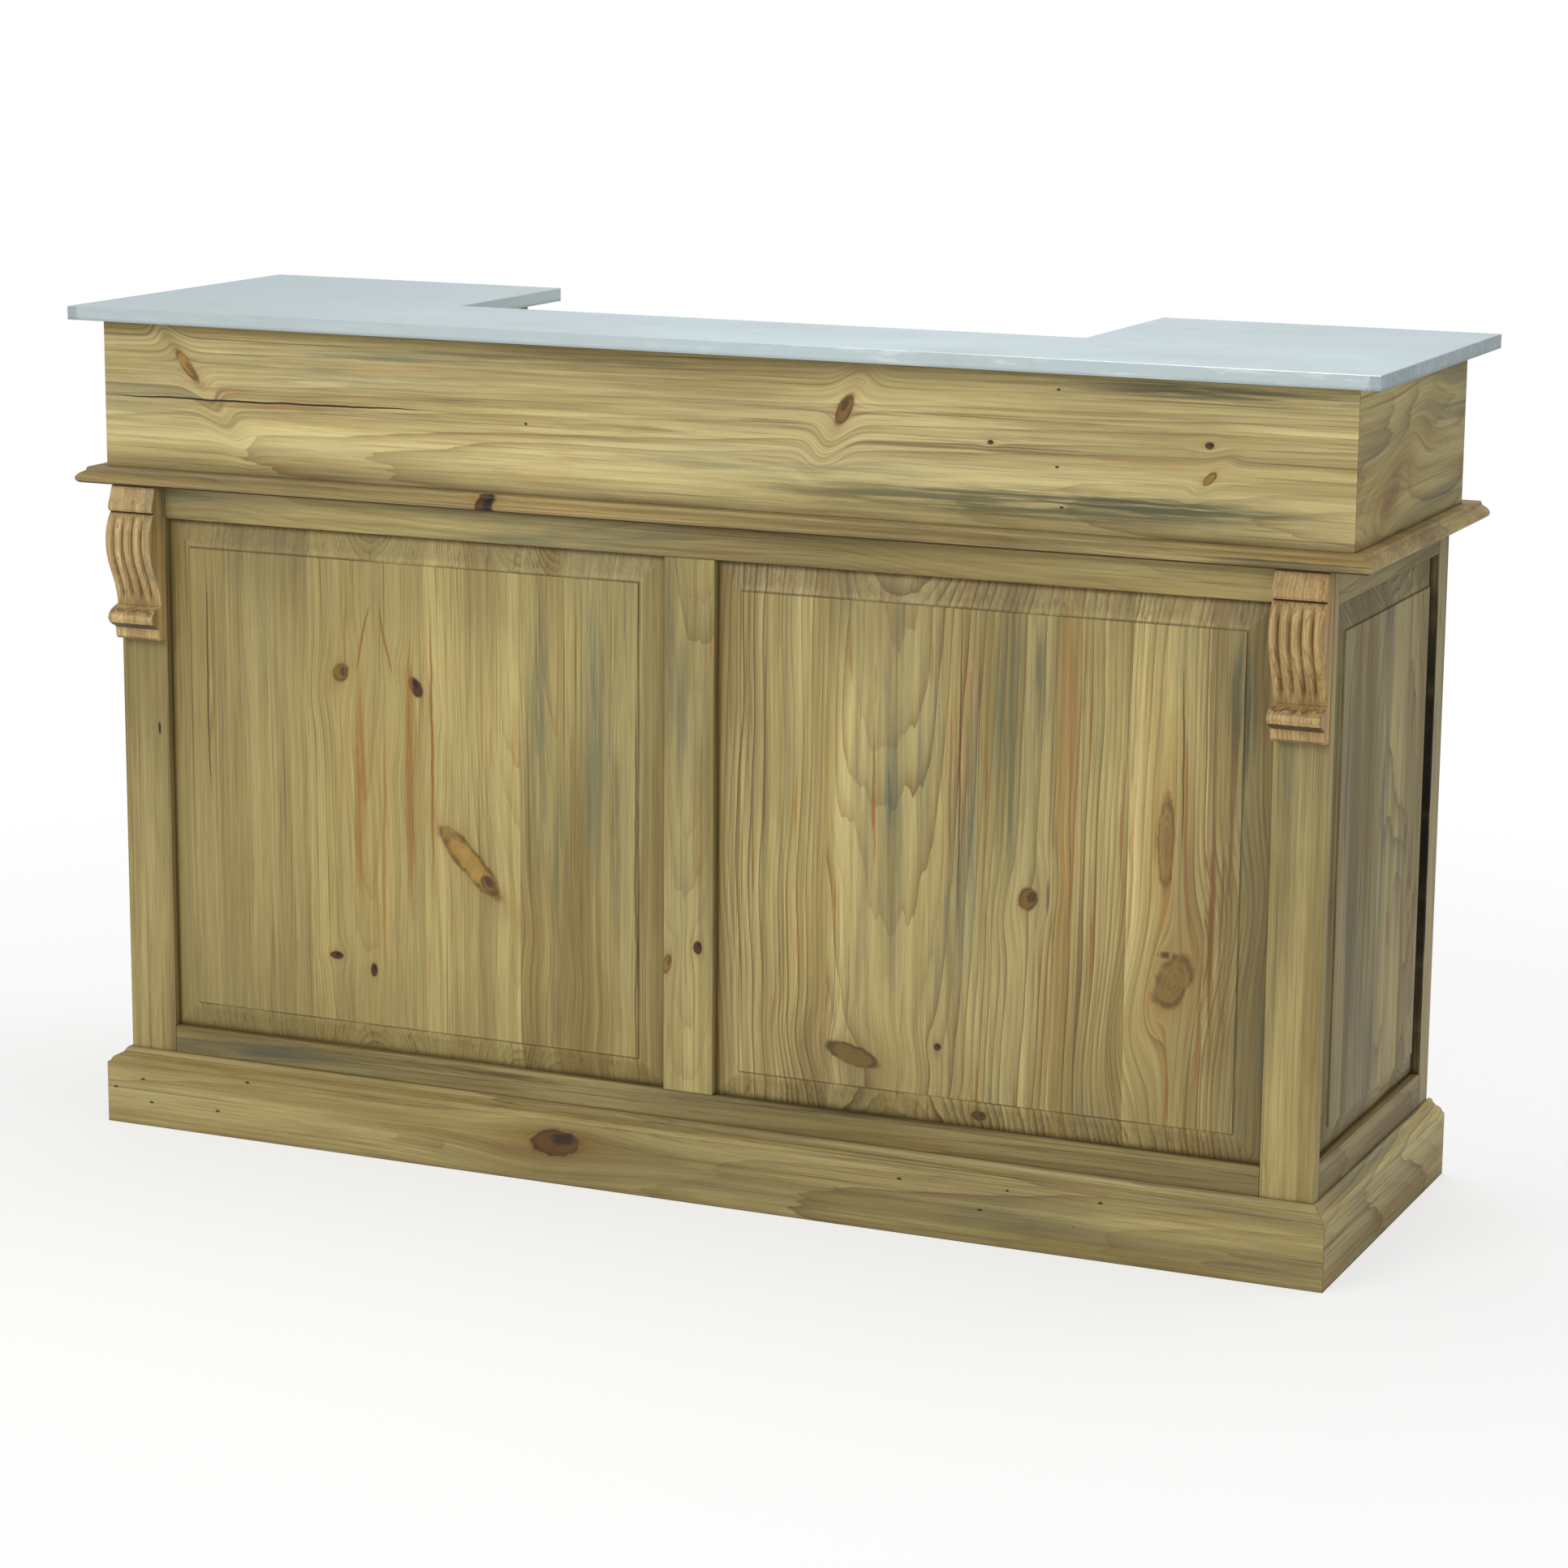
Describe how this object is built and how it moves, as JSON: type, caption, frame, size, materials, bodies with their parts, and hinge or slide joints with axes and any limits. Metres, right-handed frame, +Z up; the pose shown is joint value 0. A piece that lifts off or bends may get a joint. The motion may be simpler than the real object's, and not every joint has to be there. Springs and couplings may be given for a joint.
{
  "type": "bar_counter",
  "caption": "Standing bar counter in waxed pine with a zinc-covered U-shaped top, raised front and side panels, carved corbels, and doors and drawers to the rear",
  "frame": {"origin": "centre of the overall bounding box in plan, at floor level", "axes": "+X to the right as seen from the panelled customer front, +Y to the rear (bartender side), +Z up, metres"},
  "size_m": [1.8, 0.5766, 1.12],
  "materials": {
    "waxed_pine": "aged pine, waxed, worn satin",
    "pine_mouldings": "planed mouldings in aged pine, waxed",
    "pine_inside": "plain sawn and planed pine, thinly waxed",
    "carved_pine": "hand carved pine, waxed, dark in the hollows",
    "zinc_sheet": "rolled zinc sheet folded over the edge, satin and lightly marked",
    "blackened_steel": "blackened and oiled"
  },
  "bodies": {
    "cabinet": {"frieze_front": "waxed_pine", "front_top_rail": "waxed_pine", "front_bottom_rail": "waxed_pine", "front_muntin": "waxed_pine", "frieze_side_left": "waxed_pine", "front_stile_left": "waxed_pine", "front_panel_left": "waxed_pine", "side_top_rail_left": "waxed_pine", "side_bottom_rail_left": "waxed_pine", "side_rear_stile_left": "waxed_pine", "side_panel_left": "waxed_pine", "frieze_side_right": "waxed_pine", "front_stile_right": "waxed_pine", "front_panel_right": "waxed_pine", "side_top_rail_right": "waxed_pine", "side_bottom_rail_right": "waxed_pine", "side_rear_stile_right": "waxed_pine", "side_panel_right": "waxed_pine", "plinth_front": "pine_mouldings", "waist_board": "pine_mouldings", "plinth_side_left": "pine_mouldings", "plinth_side_right": "pine_mouldings", "top_board_front": "pine_inside", "frieze_back": "pine_inside", "bottom_board": "pine_inside", "rear_top_rail": "pine_inside", "rear_bottom_rail": "pine_inside", "top_board_left": "pine_inside", "frieze_inner_left": "pine_inside", "partition_left": "pine_inside", "cupboard_shelf_left": "pine_inside", "rear_stile_left": "pine_inside", "top_board_right": "pine_inside", "frieze_inner_right": "pine_inside", "partition_right": "pine_inside", "cupboard_shelf_right": "pine_inside", "rear_stile_right": "pine_inside", "corbel_left": "carved_pine", "corbel_right": "carved_pine", "zinc_top": "zinc_sheet", "case_leaf_lower_left": "blackened_steel", "case_leaf_upper_left": "blackened_steel", "case_leaf_lower_right": "blackened_steel", "case_leaf_upper_right": "blackened_steel"},
    "left_door": {"door_frame_left": "waxed_pine", "door_panel_left": "waxed_pine", "door_knob_left": "blackened_steel", "door_leaf_lower_left": "blackened_steel", "door_leaf_upper_left": "blackened_steel"},
    "left_drawer": {"drawer_front_left": "waxed_pine", "drawer_box_left": "pine_inside", "drawer_knob_left": "blackened_steel"},
    "right_door": {"door_frame_right": "waxed_pine", "door_panel_right": "waxed_pine", "door_knob_right": "blackened_steel", "door_leaf_lower_right": "blackened_steel", "door_leaf_upper_right": "blackened_steel"},
    "right_drawer": {"drawer_front_right": "waxed_pine", "drawer_box_right": "pine_inside", "drawer_knob_right": "blackened_steel"}
  },
  "joints": [
    {"name": "left_door_hinge", "type": "hinge", "parent": "cabinet", "child": "left_door", "pos_m": [-0.7747, 0.2663, 0.4805], "axis": [0, 0, 1], "range_deg": [0, 105]},
    {"name": "left_drawer_slide", "type": "slide", "parent": "cabinet", "child": "left_drawer", "axis": [0, 1, 0], "range_m": [0, 0.3]},
    {"name": "right_door_hinge", "type": "hinge", "parent": "cabinet", "child": "right_door", "pos_m": [0.7747, 0.2663, 0.4805], "axis": [0, 0, -1], "range_deg": [0, 105]},
    {"name": "right_drawer_slide", "type": "slide", "parent": "cabinet", "child": "right_drawer", "axis": [0, 1, 0], "range_m": [0, 0.3]}
  ]
}
